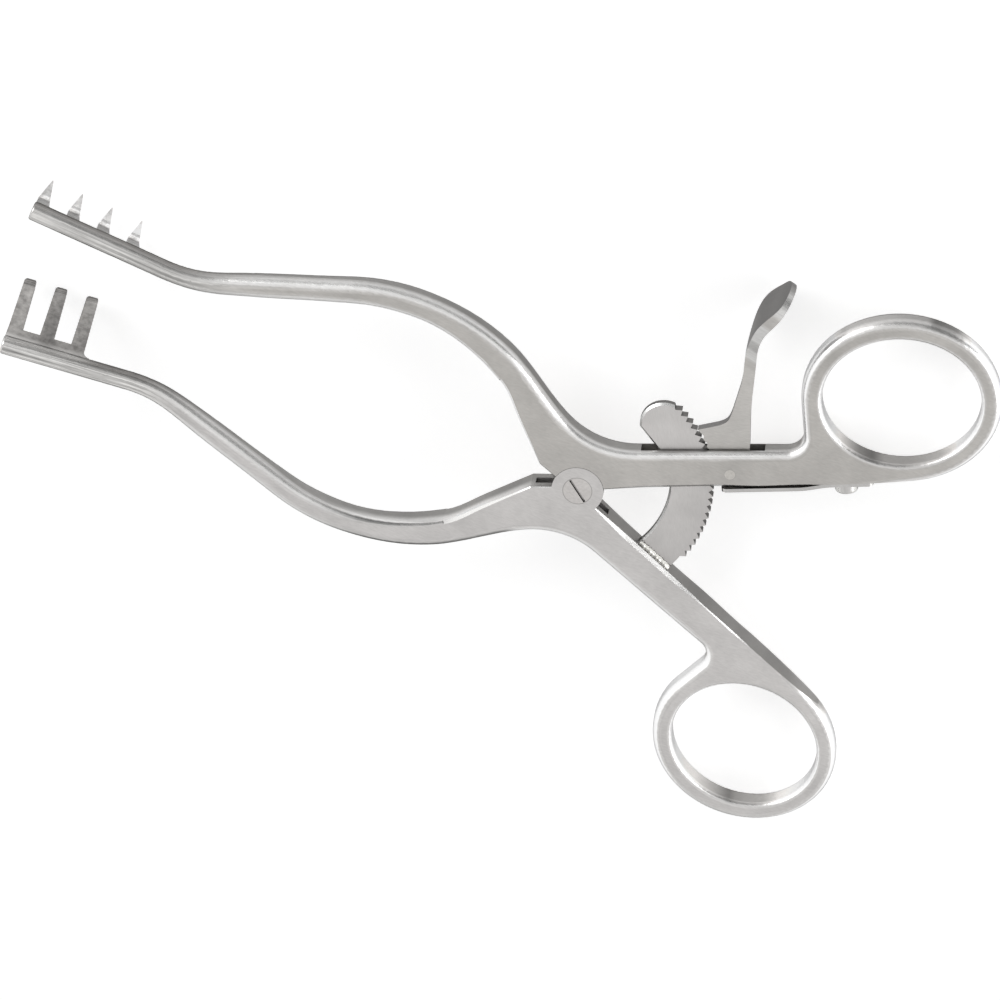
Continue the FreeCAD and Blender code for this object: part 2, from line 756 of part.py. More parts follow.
def leaf_spring():
    thick = spring_thickness
    level_from = spring_lift_from - spring_joggle
    step = curve([Vector(spring_lift_from, 0, 0), Vector(level_from, -spring_gap, 0)],
                 math.pi, math.pi)
    run = line(Vector(level_from, -spring_gap, 0), Vector(spring_tip, -spring_gap, 0))
    above = [line(Vector(spring_tail, 0, 0), Vector(spring_lift_from, 0, 0)), step, run]
    below = [edge.translated(Vector(0, -thick, 0)) for edge in above]
    ends = [line(Vector(spring_tail, 0, 0), Vector(spring_tail, -thick, 0)),
            line(Vector(spring_tip, -spring_gap, 0), Vector(spring_tip, -spring_gap - thick, 0))]
    strip = slab(face_of(above + below + ends), spring_width)

    def corners(middle, edge):
        return abs(edge.tangentAt(edge.FirstParameter).y) > 0.9

    strip = strip.makeFillet(0.8, edges_where(strip, corners))
    return beside_handle(strip).cut(spring_screw_shank())


bar = ratchet_bar()
parts = {}
parts["upper_arm"] = make_upper_arm()
parts["lower_arm"] = make_lower_arm(bar)
parts["ratchet_bar"] = bar
parts["release_lever"] = release_lever()
parts["lever_pin"] = tapered(disc(pin_radius, joint_thickness, pin_centre.x, pin_centre.y))
parts["leaf_spring"] = leaf_spring()
parts["spring_screw"] = spring_screw()
parts["pivot_screw"] = pivot_screw()

# Lay it down: the prongs and the rings touch the table.
last_prong = (upper_jaw_end - bend_x) / math.cos(jaw_toe) - first_prong_inset
last_prong = bend_x + last_prong - prong_pitch * (upper_prongs - 1)
drop = prong_bend_depth + tip_drop - ring_thickness / 2
tilt = math.atan2(drop, last_prong + ring_x + ring_long)
laid = Rotation(Vector(0, 1, 0), math.degrees(tilt))
for name in parts:
    parts[name] = parts[name].Solids[0] if len(parts[name].Solids) == 1 else parts[name]
    parts[name].Placement = Placement(Vector(0, 0, 0), laid).multiply(parts[name].Placement)
box = Part.makeCompound(list(parts.values())).optimalBoundingBox()
to_base = Vector(-box.Center.x, -box.Center.y, -box.ZMin)
print("size", round(box.XLength, 3), round(box.YLength, 3), round(box.ZLength, 3))
print("pivot", [round(c, 4) for c in to_base])
print("axis", [round(c, 6) for c in laid.multVec(Vector(0, 0, 1))])
print("pin", [round(c, 4) for c in laid.multVec(pin_centre) + to_base])

os.makedirs("parts", exist_ok=True)
for name, shape in parts.items():
    shape.translate(to_base)
    shape.exportStep("parts/" + name + ".step")
    print(name, shape.ShapeType, shape.isValid(), round(shape.Volume, 2), len(shape.Solids))
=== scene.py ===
import json
import math

import bmesh
import bpy
from mathutils import Matrix, Vector


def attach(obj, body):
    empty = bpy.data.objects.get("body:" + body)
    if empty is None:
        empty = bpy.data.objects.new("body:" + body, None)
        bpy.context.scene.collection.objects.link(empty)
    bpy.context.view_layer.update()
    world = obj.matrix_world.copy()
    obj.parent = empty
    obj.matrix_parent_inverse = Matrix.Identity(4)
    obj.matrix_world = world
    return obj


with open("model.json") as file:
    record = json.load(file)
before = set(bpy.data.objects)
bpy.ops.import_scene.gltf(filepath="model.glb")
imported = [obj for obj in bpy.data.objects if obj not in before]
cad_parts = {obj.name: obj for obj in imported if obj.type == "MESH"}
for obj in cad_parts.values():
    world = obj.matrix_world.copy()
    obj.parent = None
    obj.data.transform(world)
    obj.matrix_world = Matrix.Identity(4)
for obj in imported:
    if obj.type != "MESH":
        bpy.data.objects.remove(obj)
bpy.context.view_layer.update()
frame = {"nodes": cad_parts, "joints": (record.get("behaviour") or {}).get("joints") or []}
scene = bpy.context.scene
scene.view_settings.view_transform = "Standard"
print("frame loaded:", sorted(frame["nodes"]))

mm = 0.001  # metres

# The instrument's own axes inside the shared frame: pivot at the origin, long axis towards the
# rings, side towards the arm with the lever, and up along the pivot
pivotJoint = [joint for joint in frame["joints"] if joint["name"] == "arm_spread"][0]
pivotPoint = Vector(pivotJoint["pos_m"])
upAxis = Vector(pivotJoint["axis"]).normalized()
sideAxis = Vector((0, 1, 0))
longAxis = sideAxis.cross(upAxis)


def turned(x, y, z):  # instrument direction to frame direction
    return longAxis * x + sideAxis * y + upAxis * z


def place(x, y, z=0.0):  # instrument millimetres to frame metres
    return pivotPoint + turned(x, y, z) * mm


def addObject(name, data):
    made = bpy.data.objects.new(name, data)
    scene.collection.objects.link(made)
    return made


# Node helpers: a socket is given a plain value, or the output of another node to link

def setSockets(tree, node, sockets):
    for slot, value in sockets.items():
        if isinstance(value, bpy.types.NodeSocket):
            tree.links.new(value, node.inputs[slot])
        else:
            node.inputs[slot].default_value = value


def addNode(tree, kind, sockets=None, **settings):
    node = tree.nodes.new(kind)
    for key, value in settings.items():
        setattr(node, key, value)
    setSockets(tree, node, sockets or {})
    return node


def mathNode(tree, operation, *values, clamp=False):
    node = addNode(tree, "ShaderNodeMath", dict(enumerate(values)), operation=operation,
                   use_clamp=clamp)
    return node.outputs[0]


def product(tree, result, *factors):
    for factor in factors:
        result = mathNode(tree, "MULTIPLY", result, factor)
    return result


def vectorNode(tree, operation, *values):
    node = addNode(tree, "ShaderNodeVectorMath", dict(enumerate(values)), operation=operation)
    return node.outputs["Value" if operation in ("DOT_PRODUCT", "LENGTH") else "Vector"]


def mapRange(tree, value, low, high, toLow=0.0, toHigh=1.0, smooth=True):
    node = addNode(tree, "ShaderNodeMapRange",
                   {"Value": value, "From Min": low, "From Max": high,
                    "To Min": toLow, "To Max": toHigh},
                   interpolation_type="SMOOTHSTEP" if smooth else "LINEAR")
    return node.outputs["Result"]


def mixNode(tree, kind, factor, first, second):
    node = addNode(tree, "ShaderNodeMix", {"Factor": factor, "A": first, "B": second},
                   data_type=kind)
    return node.outputs["Result"]


def rampNode(tree, factor, stops):  # each stop has a position, and a colour or one grey value
    node = addNode(tree, "ShaderNodeValToRGB", {"Fac": factor})
    elements = node.color_ramp.elements
    while len(elements) > 1:
        elements.remove(elements[-1])
    for index, (at, shade) in enumerate(stops):
        element = elements[0] if index == 0 else elements.new(at)
        element.position = at
        element.color = (*shade, 1) if isinstance(shade, tuple) else (shade, shade, shade, 1)
    return node.outputs["Color"]


def noiseNode(tree, vector, scale, detail=3.0, roughness=0.6):
    node = addNode(tree, "ShaderNodeTexNoise", {"Vector": vector, "Scale": scale,
                                                "Detail": detail, "Roughness": roughness})
    return node.outputs["Fac"]


def swayNode(tree, value, middle, swing):  # noise mostly stays between 0.3 and 0.7
    return mapRange(tree, value, 0.3, 0.7, middle - swing, middle + swing, smooth=False)


def headingNode(tree, side, ahead):  # share of a turn: 0 and 1 are towards -X, 0.5 towards +X
    angle = mathNode(tree, "ARCTAN2", side, ahead)
    return mathNode(tree, "ADD", mathNode(tree, "DIVIDE", angle, 2 * math.pi), 0.5)


def seenBy(tree, *rays):  # 1 for these kinds of ray, 0 for all others
    paths = addNode(tree, "ShaderNodeLightPath")
    total = paths.outputs[rays[0]]
    for ray in rays[1:]:
        total = mathNode(tree, "ADD", total, paths.outputs[ray], clamp=True)
    return total


# Shader groups that the steels share

def openGroup(name, inputs):
    group = bpy.data.node_groups.new(name, "ShaderNodeTree")
    for label, value in inputs.items():
        kind = "NodeSocketFloat" if isinstance(value, float) else "NodeSocketVector"
        made = group.interface.new_socket(name=label, in_out="INPUT", socket_type=kind)
        made.default_value = value
    return group, group.nodes.new("NodeGroupInput").outputs


def closeGroup(group, outputs):
    for label in outputs:
        group.interface.new_socket(name=label, in_out="OUTPUT", socket_type="NodeSocketFloat")
    setSockets(group, group.nodes.new("NodeGroupOutput"), outputs)
    return group


facingLimits = {"wall": (0.93, 0.75), "endwise": (0.97, 0.6), "leastLevel": 0.05}


def buildFacing():
    # how squarely a surface looks along the pivot: 1 on the flat faces, 0 on the side walls,
    # which of the rest look along the instrument instead of out to its sides, and where to
    group = openGroup("facing", {})[0]
    normal = addNode(group, "ShaderNodeTexCoord").outputs["Normal"]
    alongUp, alongSide, alongLong = (vectorNode(group, "DOT_PRODUCT", normal, tuple(axis))
                                     for axis in (upAxis, sideAxis, longAxis))
    square = mathNode(group, "ABSOLUTE", alongUp)
    level = mathNode(group, "SUBTRACT", 1.0, product(group, square, square))
    level = mathNode(group, "MAXIMUM", mathNode(group, "SQRT", level), facingLimits["leastLevel"])
    sideways = mathNode(group, "DIVIDE", mathNode(group, "ABSOLUTE", alongSide), level)
    wall = mapRange(group, square, *facingLimits["wall"])
    endwise = product(group, mapRange(group, sideways, *facingLimits["endwise"]), wall)
    return closeGroup(group, {"Squareness": square, "Endwise": endwise, "Wall": wall,
                              "Heading": headingNode(group, alongSide, alongLong)})


# Noise scales, per metre
noise = {"streaks": 9000.0, "clouds": 260.0, "mottle": 1100.0, "alongLines": 70.0}


def buildBrushing():
    # fine scratches along one direction, cloudy patches and a mottle
    group, given = openGroup("brushing", {"Direction": 0.0, "Fineness": 1.0, "Stretch": 18.0})
    spot = addNode(group, "ShaderNodeTexCoord").outputs["Object"]
    turn = addNode(group, "ShaderNodeVectorRotate",
                   {"Vector": spot, "Axis": tuple(upAxis), "Center": tuple(pivotPoint),
                    "Angle": given["Direction"]}, rotation_type="AXIS_ANGLE")
    squeeze = addNode(group, "ShaderNodeCombineXYZ",
                      {0: mathNode(group, "DIVIDE", 1.0, given["Stretch"]), 1: 1.0, 2: 1.0})
    scaled = vectorNode(group, "MULTIPLY", turn.outputs[0], squeeze.outputs[0])
    scale = product(group, given["Fineness"], noise["streaks"])
    return closeGroup(group, {
        "Streaks": noiseNode(group, scaled, scale, detail=4.0, roughness=0.65),
        "Clouds": noiseNode(group, spot, noise["clouds"], roughness=0.5),
        "Mottle": noiseNode(group, spot, noise["mottle"])})


def buildPolishLines():
    # long streaks that follow a rounded edge: they run where the surface keeps one slope
    group, given = openGroup("polishLines", {"Squareness": 0.5, "Density": 30.0})
    coords = addNode(group, "ShaderNodeTexCoord")
    split = addNode(group, "ShaderNodeSeparateXYZ", {0: coords.outputs["Object"]})
    joined = addNode(group, "ShaderNodeCombineXYZ",
                     {0: product(group, given["Squareness"], given["Density"]),
                      1: product(group, split.outputs[0], noise["alongLines"]),
                      2: product(group, split.outputs[1], noise["alongLines"])})
    return closeGroup(group, {"Lines": noiseNode(group, joined.outputs[0], 1.0)})


def buildNearAxis():
    # 1 inside a radius about a line parallel to the pivot, 0 outside, and a thin rim between
    group, given = openGroup("nearAxis", {"Centre": (0, 0, 0), "Radius": 0.01, "Soft": 0.0002})
    spot = addNode(group, "ShaderNodeTexCoord").outputs["Object"]
    offset = vectorNode(group, "SUBTRACT", spot, given["Centre"])
    across = vectorNode(group, "CROSS_PRODUCT", offset, tuple(upAxis))
    beyond = mathNode(group, "SUBTRACT", vectorNode(group, "LENGTH", across), given["Radius"])
    share = mathNode(group, "DIVIDE", beyond, given["Soft"])
    rim = mapRange(group, mathNode(group, "ABSOLUTE", share), 1.0, 0.0)
    return closeGroup(group, {"Inside": mapRange(group, share, 1.0, -1.0), "Rim": rim})


def buildPastPlane():
    # 1 beyond a plane on the side that Way points to, 0 on the other
    group, given = openGroup("pastPlane", {"Point": (0, 0, 0), "Way": (0, 0, 1), "Soft": 0.001})
    spot = addNode(group, "ShaderNodeTexCoord").outputs["Object"]
    offset = vectorNode(group, "SUBTRACT", spot, given["Point"])
    share = mathNode(group, "DIVIDE", vectorNode(group, "DOT_PRODUCT", offset, given["Way"]),
                     given["Soft"])
    return closeGroup(group, {"Past": mapRange(group, share, -1.0, 1.0)})


facingGroup = buildFacing()
brushingGroup = buildBrushing()
polishGroup = buildPolishLines()
nearAxisGroup = buildNearAxis()
pastPlaneGroup = buildPastPlane()


# A spot is a place with its own tones or marks, round about a line parallel to the pivot or past
# planes

def nearAxis(tree, spot, radius):
    near = addNode(tree, "ShaderNodeGroup",
                   {"Centre": tuple(spot["centre"]), "Radius": radius * mm,
                    "Soft": spot["soft"] * mm}, node_tree=nearAxisGroup)
    return near.outputs


def spotMask(tree, spot):
    if "planes" in spot:
        shares = [addNode(tree, "ShaderNodeGroup",
                          {"Point": tuple(point), "Way": tuple(way), "Soft": soft * mm},
                          node_tree=pastPlaneGroup).outputs["Past"]
                  for point, way, soft in spot["planes"]]
        return product(tree, *shares)
    inside = nearAxis(tree, spot, spot["radius"])["Inside"]
    if "hollow" in spot:
        within = nearAxis(tree, spot, spot["hollow"])["Inside"]
        inside = product(tree, inside, mathNode(tree, "SUBTRACT", 1.0, within))
    return inside


def addSpot(tree, spot, surface, color, scale):
    if "rim" in spot:
        rim = nearAxis(tree, spot, spot["radius"])["Rim"]
        dark = mapRange(tree, rim, 0.0, 1.0, 1.0, spot["rim"], smooth=False)
        return color, product(tree, scale, dark)
    inside = spotMask(tree, spot)
    # painted light: a spot's tones paint its own shade and highlights by squareness
    color = mixNode(tree, "RGBA", inside, color, rampNode(tree, surface["square"], spot["tones"]))
    if "reflectionWheel" in spot:
        # painted reflection: walls are painted brighter and darker by their heading, as a polished
        # ring mirrors the room round it
        reflectionWheel = rampNode(tree, surface["heading"], spot["reflectionWheel"])
        gain = mapRange(tree, reflectionWheel, 0.0, 1.0, *spot["gain"], smooth=False)
        swing = product(tree, mathNode(tree, "SUBTRACT", gain, 1.0),
                        product(tree, inside, surface["wall"]))
        scale = product(tree, scale, mathNode(tree, "ADD", 1.0, swing))
    for mark in ("mottle", "lines"):
        if mark in spot:
            swing = product(tree, swayNode(tree, surface[mark], 0.0, spot[mark]), inside)
            scale = product(tree, scale, mathNode(tree, "ADD", 1.0, swing))
    return color, scale


# What all the steels have in common
steelLook = {"cornerSamples": 8, "cornerRange": (0.15, 0.75), "grain": 0.12, "bumpHeight": 0.02}


def steel(name, finish):
    material = bpy.data.materials.new(name)
    material.use_nodes = True
    tree = material.node_tree
    facing = addNode(tree, "ShaderNodeGroup", node_tree=facingGroup)
    square = facing.outputs["Squareness"]
    brushing = addNode(tree, "ShaderNodeGroup",
                       {"Direction": math.radians(finish["direction"]),
                        "Fineness": finish["fineness"], "Stretch": finish["stretch"]},
                       node_tree=brushingGroup)
    polish = addNode(tree, "ShaderNodeGroup",
                     {"Squareness": square, "Density": finish["lineDensity"]},
                     node_tree=polishGroup)
    surface = {"square": square, "heading": facing.outputs["Heading"],
               "wall": facing.outputs["Wall"], "mottle": brushing.outputs["Mottle"],
               "lines": polish.outputs["Lines"]}
    # painted shade: the inner corners are darkened by an ambient occlusion mask
    corner = addNode(tree, "ShaderNodeAmbientOcclusion",
                     {"Distance": finish["cornerShadeReach"] * mm},
                     only_local=True, samples=steelLook["cornerSamples"])
    cornerShade = mapRange(tree, corner.outputs["AO"], *steelLook["cornerRange"],
                        finish["cornerShadeTone"], 1.0)
    streaks = brushing.outputs["Streaks"]
    # painted light: the colour scale holds the painted corner shade, and walls that look along the
    # instrument are painted brighter by the endwise gain
    scale = product(tree, swayNode(tree, streaks, 1.0, finish["contrast"]),
                    swayNode(tree, brushing.outputs["Clouds"], 1.0, finish["clouding"]),
                    cornerShade, swayNode(tree, surface["lines"], 1.0, finish["lines"]),
                    mapRange(tree, facing.outputs["Endwise"], 0.0, 1.0, 1.0, finish["endwise"],
                             smooth=False))
    # painted light: the tones paint shade on the side walls and highlights on the rounded edges
    color = rampNode(tree, square, finish["tones"])
    for spot in finish["spots"]:
        color, scale = addSpot(tree, spot, surface, color, scale)
    tint = addNode(tree, "ShaderNodeVectorMath", {0: color, "Scale": scale}, operation="SCALE")
    grain = product(tree, mathNode(tree, "SUBTRACT", streaks, 0.5), steelLook["grain"])
    gloss = rampNode(tree, square, finish["roughness"])
    bump = addNode(tree, "ShaderNodeBump", {"Strength": finish["bump"], "Height": streaks,
                                            "Distance": steelLook["bumpHeight"] * mm})
    edge = finish["edgeTint"]
    setSockets(tree, tree.nodes["Principled BSDF"], {
        "Metallic": 1.0, "Anisotropic": finish["anisotropic"],
        "Specular Tint": (edge, edge, edge, 1), "Base Color": tint.outputs[0],
        "Roughness": mathNode(tree, "ADD", gloss, grain), "Normal": bump.outputs["Normal"]})
    return material


# Places on the arms: each plane is a point, the way past it, and how softly it begins
upperRing = place(36.4, 29.9)
lowerRing = place(36.4, -29.9)
leverPin = place(18.7, 10.65)
jawPlanes = [(place(-57, 0), -longAxis, 7.0)]
prongPlanes = [(place(-60, 0), -longAxis, 0.5), (place(0, 0, -1.35), -upAxis, 0.25)]
combPlanes = [(place(-70.5, 0), -longAxis, 2.0)]
rootPlanes = [(place(-6.5, 0), -longAxis, 1.5), (place(-30, 0), longAxis, 6.0),
              (place(0, 0, 0.5), upAxis, 0.9)]
fadePlanes = [(place(-16.0, 0), -longAxis, 3.0), (place(-22.0, 0), longAxis, 3.0),
              (place(0, 0, 0.9), upAxis, 0.6), (place(0, -13.6), sideAxis, 1.2)]

# Tones and roughness go from the side walls (0) over the rounded edges to the flat faces (1). The
# tones are painted light: painted shade on the walls, painted highlights on the rounded edges
# painted light: one steel in two greys, the lower arm's flat faces painted lighter than the upper
# arm's
upperFace = (0.455, 0.44, 0.42)
lowerFace = (0.555, 0.54, 0.53)
# painted shade on the jaw shafts' side walls, with a painted highlight next to the faces
jawTones = [(0.0, (0.22, 0.212, 0.205)), (0.3, (0.26, 0.252, 0.245)),
            (0.5, (0.32, 0.312, 0.303)), (0.7, (0.45, 0.443, 0.435)),
            (0.9, (0.55, 0.542, 0.53)), (1.0, (0.5, 0.492, 0.48))]
# painted shade on the comb's side walls, with a painted highlight next to its faces
combTones = [(0.0, (0.4, 0.392, 0.382)), (0.3, (0.42, 0.412, 0.402)),
             (0.6, (0.46, 0.452, 0.442)), (0.9, (0.58, 0.572, 0.56)),
             (1.0, (0.52, 0.512, 0.5))]
# painted light on the prongs: the upper ones painted near white, the lower ones painted almost
# black on their faces with a light band
upperProngTones = [(0.0, (0.7, 0.69, 0.68)), (0.4, (0.8, 0.79, 0.78)),
                   (0.6, (0.88, 0.87, 0.86)), (1.0, (0.92, 0.91, 0.9))]
lowerProngTones = [(0.0, (0.27, 0.262, 0.254)), (0.38, (0.27, 0.262, 0.254)),
                   (0.46, (0.5, 0.49, 0.48)), (0.56, (0.34, 0.332, 0.325)),
                   (0.68, (0.09, 0.087, 0.083)), (1.0, (0.09, 0.087, 0.083))]
# painted light: the lower root's wall is painted bright as a highlight, and its broken edge (0.6
# to 0.85) is painted darker, since it mirrors a lamp
rootTones = [(0.0, (0.8, 0.79, 0.78)), (0.42, (0.75, 0.74, 0.73)),
             (0.6, (0.25, 0.247, 0.243)), (0.85, (0.25, 0.247, 0.243)),
             (0.94, (0.55, 0.54, 0.53)), (0.992, lowerFace)]
# further out that edge fades into the rounded shaft, with the same painted highlight and shade
fadeTones = [(0.0, (0.6, 0.595, 0.585)), (0.45, (0.5, 0.495, 0.485)),
             (0.6, (0.16, 0.158, 0.155)), (0.85, (0.16, 0.158, 0.155)),
             (0.95, (0.55, 0.54, 0.53)), (0.992, lowerFace)]
# painted shade on the rings' walls and painted highlights on their rounded edges
outerRingTones = [(0.0, (0.5, 0.49, 0.48)), (0.35, (0.56, 0.55, 0.54)),
                  (0.7, (0.62, 0.61, 0.6)), (0.92, (0.6, 0.59, 0.58))]
innerRingTones = [(0.0, (0.4, 0.39, 0.38)), (0.35, (0.46, 0.45, 0.44)),
                  (0.7, (0.6, 0.59, 0.58)), (0.92, (0.6, 0.59, 0.58))]
# painted shade on the arms' side walls and painted highlights on their rounded edges
armTones = [(0.0, (0.34, 0.333, 0.325)), (0.2, (0.44, 0.433, 0.425)),
            (0.42, (0.6, 0.593, 0.585)), (0.6, (0.76, 0.753, 0.745)),
            (0.78, (0.82, 0.815, 0.805)), (0.92, (0.68, 0.67, 0.66))]

# Painted reflection on a ring's walls, a gain by heading: 0.25 looks down to the -Y side, 0.75 up
# to the +Y side
lowSideReflection = [(0.0, 1.0), (0.12, 0.6), (0.25, 0.31), (0.38, 0.6), (0.5, 1.0)]
upperOuterReflection = lowSideReflection + [(0.69, 1.0), (0.725, 0.12), (0.76, 0.0), (0.771, 0.31),
                             (0.9, 0.36), (0.93, 0.95), (1.0, 1.0)]
upperInnerReflection = lowSideReflection + [(0.68, 1.0), (0.725, 0.2), (0.755, 0.03), (0.778, 0.28),
                             (0.88, 0.36), (0.93, 0.95), (1.0, 1.0)]
lowerOuterReflection = lowSideReflection + [(0.62, 1.0), (0.66, 0.1), (0.69, 0.14), (0.76, 0.3),
                             (0.9, 0.36), (0.93, 0.95), (1.0, 1.0)]
lowerInnerReflection = lowSideReflection + [(0.68, 1.0), (0.74, 0.3), (0.757, 0.1), (0.772, 0.3),
                             (0.83, 0.45), (0.87, 0.95), (1.0, 1.0)]
ring = {"outerRadius": 15.0, "innerRadius": 12.0, "soft": 0.8, "gain": (0.45, 2.2)}


def ringSpots(centre, face, outerReflection, innerReflection):
    common = {"centre": centre, "soft": ring["soft"], "gain": ring["gain"]}
    return [dict(common, radius=ring["outerRadius"], hollow=ring["innerRadius"],
                 tones=outerRingTones + [(0.992, face)], reflectionWheel=outerReflection),
            dict(common, radius=ring["innerRadius"],
                 tones=innerRingTones + [(0.992, face)], reflectionWheel=innerReflection)]


jawSpot = {"planes": jawPlanes, "tones": jawTones, "lines": 0.34}
combSpot = {"planes": combPlanes, "tones": combTones, "lines": 0.3}
armFinish = {
    "direction": 0.0, "fineness": 0.55, "stretch": 5.0, "contrast": 0.08, "clouding": 0.03,
    "lines": 0.12, "lineDensity": 32.0, "bump": 0.25, "anisotropic": 0.2, "cornerShadeReach": 1.2,
    "cornerShadeTone": 0.3, "endwise": 1.3, "edgeTint": 0.2, "spots": [],
    "tones": armTones + [(0.992, (0.5, 0.49, 0.475))],
    "roughness": [(0.0, 0.4), (0.4, 0.34), (0.7, 0.27), (0.9, 0.32), (0.995, 0.48)]}
upperFinish = dict(
    armFinish, tones=armTones + [(0.992, upperFace)],
    spots=ringSpots(upperRing, upperFace, upperOuterReflection, upperInnerReflection) + [
        {"centre": leverPin, "radius": 0.78, "soft": 0.05, "rim": 0.78}, jawSpot,
        {"planes": prongPlanes, "tones": upperProngTones, "mottle": 0.3}])
lowerFinish = dict(
    armFinish, tones=armTones + [(0.992, lowerFace)],
    spots=ringSpots(lowerRing, lowerFace, lowerOuterReflection, lowerInnerReflection) + [
        {"centre": pivotPoint, "radius": 2.07, "soft": 0.05, "rim": 0.6},
        {"planes": rootPlanes, "tones": rootTones}, {"planes": fadePlanes, "tones": fadeTones},
        jawSpot, combSpot,
        {"planes": prongPlanes, "tones": lowerProngTones, "mottle": 0.3}])
# painted light: the bar, lever, spring, screw and pin tones also paint shade on the walls and
# highlights on the rounded edges
barFinish = dict(
    armFinish, contrast=0.06, direction=62.0, stretch=9.0, fineness=0.8, cornerShadeTone=0.35,
    cornerShadeReach=0.6, endwise=1.0, edgeTint=0.35,
    tones=[(0.0, (0.2, 0.195, 0.19)), (0.4, (0.28, 0.274, 0.268)), (0.62, (0.8, 0.8, 0.79)),
           (0.95, (0.8, 0.8, 0.79)), (0.985, (0.53, 0.515, 0.505))])
leverFinish = dict(
    armFinish, contrast=0.09, direction=-14.0, stretch=9.0, fineness=0.8, endwise=1.0,
    edgeTint=0.45,
    tones=[(0.0, (0.26, 0.254, 0.25)), (0.3, (0.3, 0.294, 0.288)), (0.6, (0.6, 0.595, 0.585)),
           (0.95, (0.6, 0.595, 0.585)), (0.985, (0.5, 0.485, 0.465))])
springFinish = dict(
    armFinish, direction=24.0,
    tones=[(0.0, (0.42, 0.41, 0.4)), (0.5, (0.6, 0.6, 0.58)), (0.985, (0.5, 0.49, 0.48))],
    roughness=[(0.0, 0.25), (0.6, 0.2), (0.99, 0.35)])
screwFinish = dict(
    armFinish, contrast=0.1, fineness=0.4, stretch=1.5, cornerShadeReach=0.5,
    spots=[{"centre": pivotPoint, "radius": 2.03, "soft": 0.07, "rim": 0.6}],
    tones=[(0.0, (0.1, 0.1, 0.095)), (0.6, (0.5, 0.49, 0.48)), (0.985, (0.55, 0.53, 0.515))])
pinFinish = dict(
    armFinish, contrast=0.12, fineness=0.4, stretch=1.5,
    tones=[(0.0, (0.3, 0.29, 0.28)), (0.985, (0.56, 0.54, 0.51))])

# Each solid of the frame gets its own steel
finishes = {"upper_arm": upperFinish, "lower_arm": lowerFinish, "ratchet_bar": barFinish,
            "release_lever": leverFinish, "lever_pin": pinFinish, "leaf_spring": springFinish,
            "spring_screw": springFinish, "pivot_screw": screwFinish}
for node, finish in finishes.items():
    mesh = frame["nodes"][node].data
    mesh.materials.clear()
    mesh.materials.append(steel(node + "_steel", finish))
print("steels on", len(finishes), "solids")


# Brazed seam where the ratchet bar is let into the lower handle: a hollow fillet and its pores

# The seam starts at a point of the joint's disc and runs along the handle's wall. The fillet is
# drawn in at both ends, and its waves each have a pace, a phase and a strength.
seam = {"discRadius": 3.65, "discAngle": -26.0, "heading": -24.2, "from": 8.5, "to": 14.2,
        "barHalf": 0.7, "fillet": 0.55, "sunk": 0.04, "sections": 48, "arcSteps": 8,
        "endSize": 0.55, "endRise": 3.0, "waviness": 0.07,
        "waves": [(23.0, 0.0, 1.0), (57.0, 1.3, 0.6)]}
brazeFinish = dict(
    armFinish, contrast=0.18, fineness=0.5, stretch=1.0, endwise=1.0, cornerShadeTone=0.7,
    tones=[(0.0, (0.8, 0.79, 0.75)), (1.0, (0.8, 0.79, 0.75))],
    roughness=[(0.0, 0.3), (1.0, 0.3)])


def seamPoint(run, outward, height):
    disc = math.radians(seam["discAngle"])
    heading = math.radians(seam["heading"])
    x = seam["discRadius"] * math.cos(disc) + run * math.cos(heading) - outward * math.sin(heading)
    y = seam["discRadius"] * math.sin(disc) + run * math.sin(heading) + outward * math.cos(heading)
    return place(x, y, height)


def filletSize(share):
    ends = min(1.0, seam["endSize"] + seam["endRise"] * min(share, 1 - share))
    wave = sum(strength * math.sin(share * pace + phase)
               for pace, phase, strength in seam["waves"])
    return seam["fillet"] * ends * (1 + seam["waviness"] * wave)


def filletOutline(share, side):  # one section of the fillet
    run = seam["from"] + (seam["to"] - seam["from"]) * share
    size = filletSize(share)
    outline = [seamPoint(run, -seam["sunk"], side * (seam["barHalf"] - seam["sunk"])),
               seamPoint(run, size, side * (seam["barHalf"] - seam["sunk"]))]
    for step in range(seam["arcSteps"] + 1):
        turn = math.pi / 2 * step / seam["arcSteps"]
        outline.append(seamPoint(run, size * (1 - math.sin(turn)),
                                 side * (seam["barHalf"] + size * (1 - math.cos(turn)))))
    outline.append(seamPoint(run, -seam["sunk"], side * (seam["barHalf"] + size)))
    return outline


def makeSeam():
    shape = bmesh.new()
    for side in (1, -1):
        rings = [[shape.verts.new(point)
                  for point in filletOutline(index / seam["sections"], side)]
                 for index in range(seam["sections"] + 1)]
        for first, second in zip(rings, rings[1:]):
            for index in range(len(first)):
                after = (index + 1) % len(first)
                shape.faces.new((first[index], first[after], second[after], second[index]))
        shape.faces.new(rings[0])
        shape.faces.new(reversed(rings[-1]))
    bmesh.ops.recalc_face_normals(shape, faces=shape.faces)
    mesh = bpy.data.meshes.new("braze_fillet")
    shape.to_mesh(mesh)
    shape.free()
    for face in mesh.polygons:
        face.use_smooth = len(face.vertices) == 4
    mesh.materials.append(steel("braze_bright", brazeFinish))
    piece = addObject("braze_fillet", mesh)
    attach(piece, "lower_side")


pores = {"radius": 0.075, "spacing": 0.27, "wander": 0.05, "seed": 5, "endGap": 0.1,
         "lift": 1.05, "spread": (1, 1, 0.3), "sizes": (0.45, 1.25), "subdivisions": 2}
poreFinish = dict(
    armFinish, contrast=0.2, endwise=1.0, cornerShadeTone=0.8,
    tones=[(0.0, (0.1, 0.09, 0.08)), (1.0, (0.1, 0.09, 0.08))],
    roughness=[(0.0, 0.6), (1.0, 0.6)])


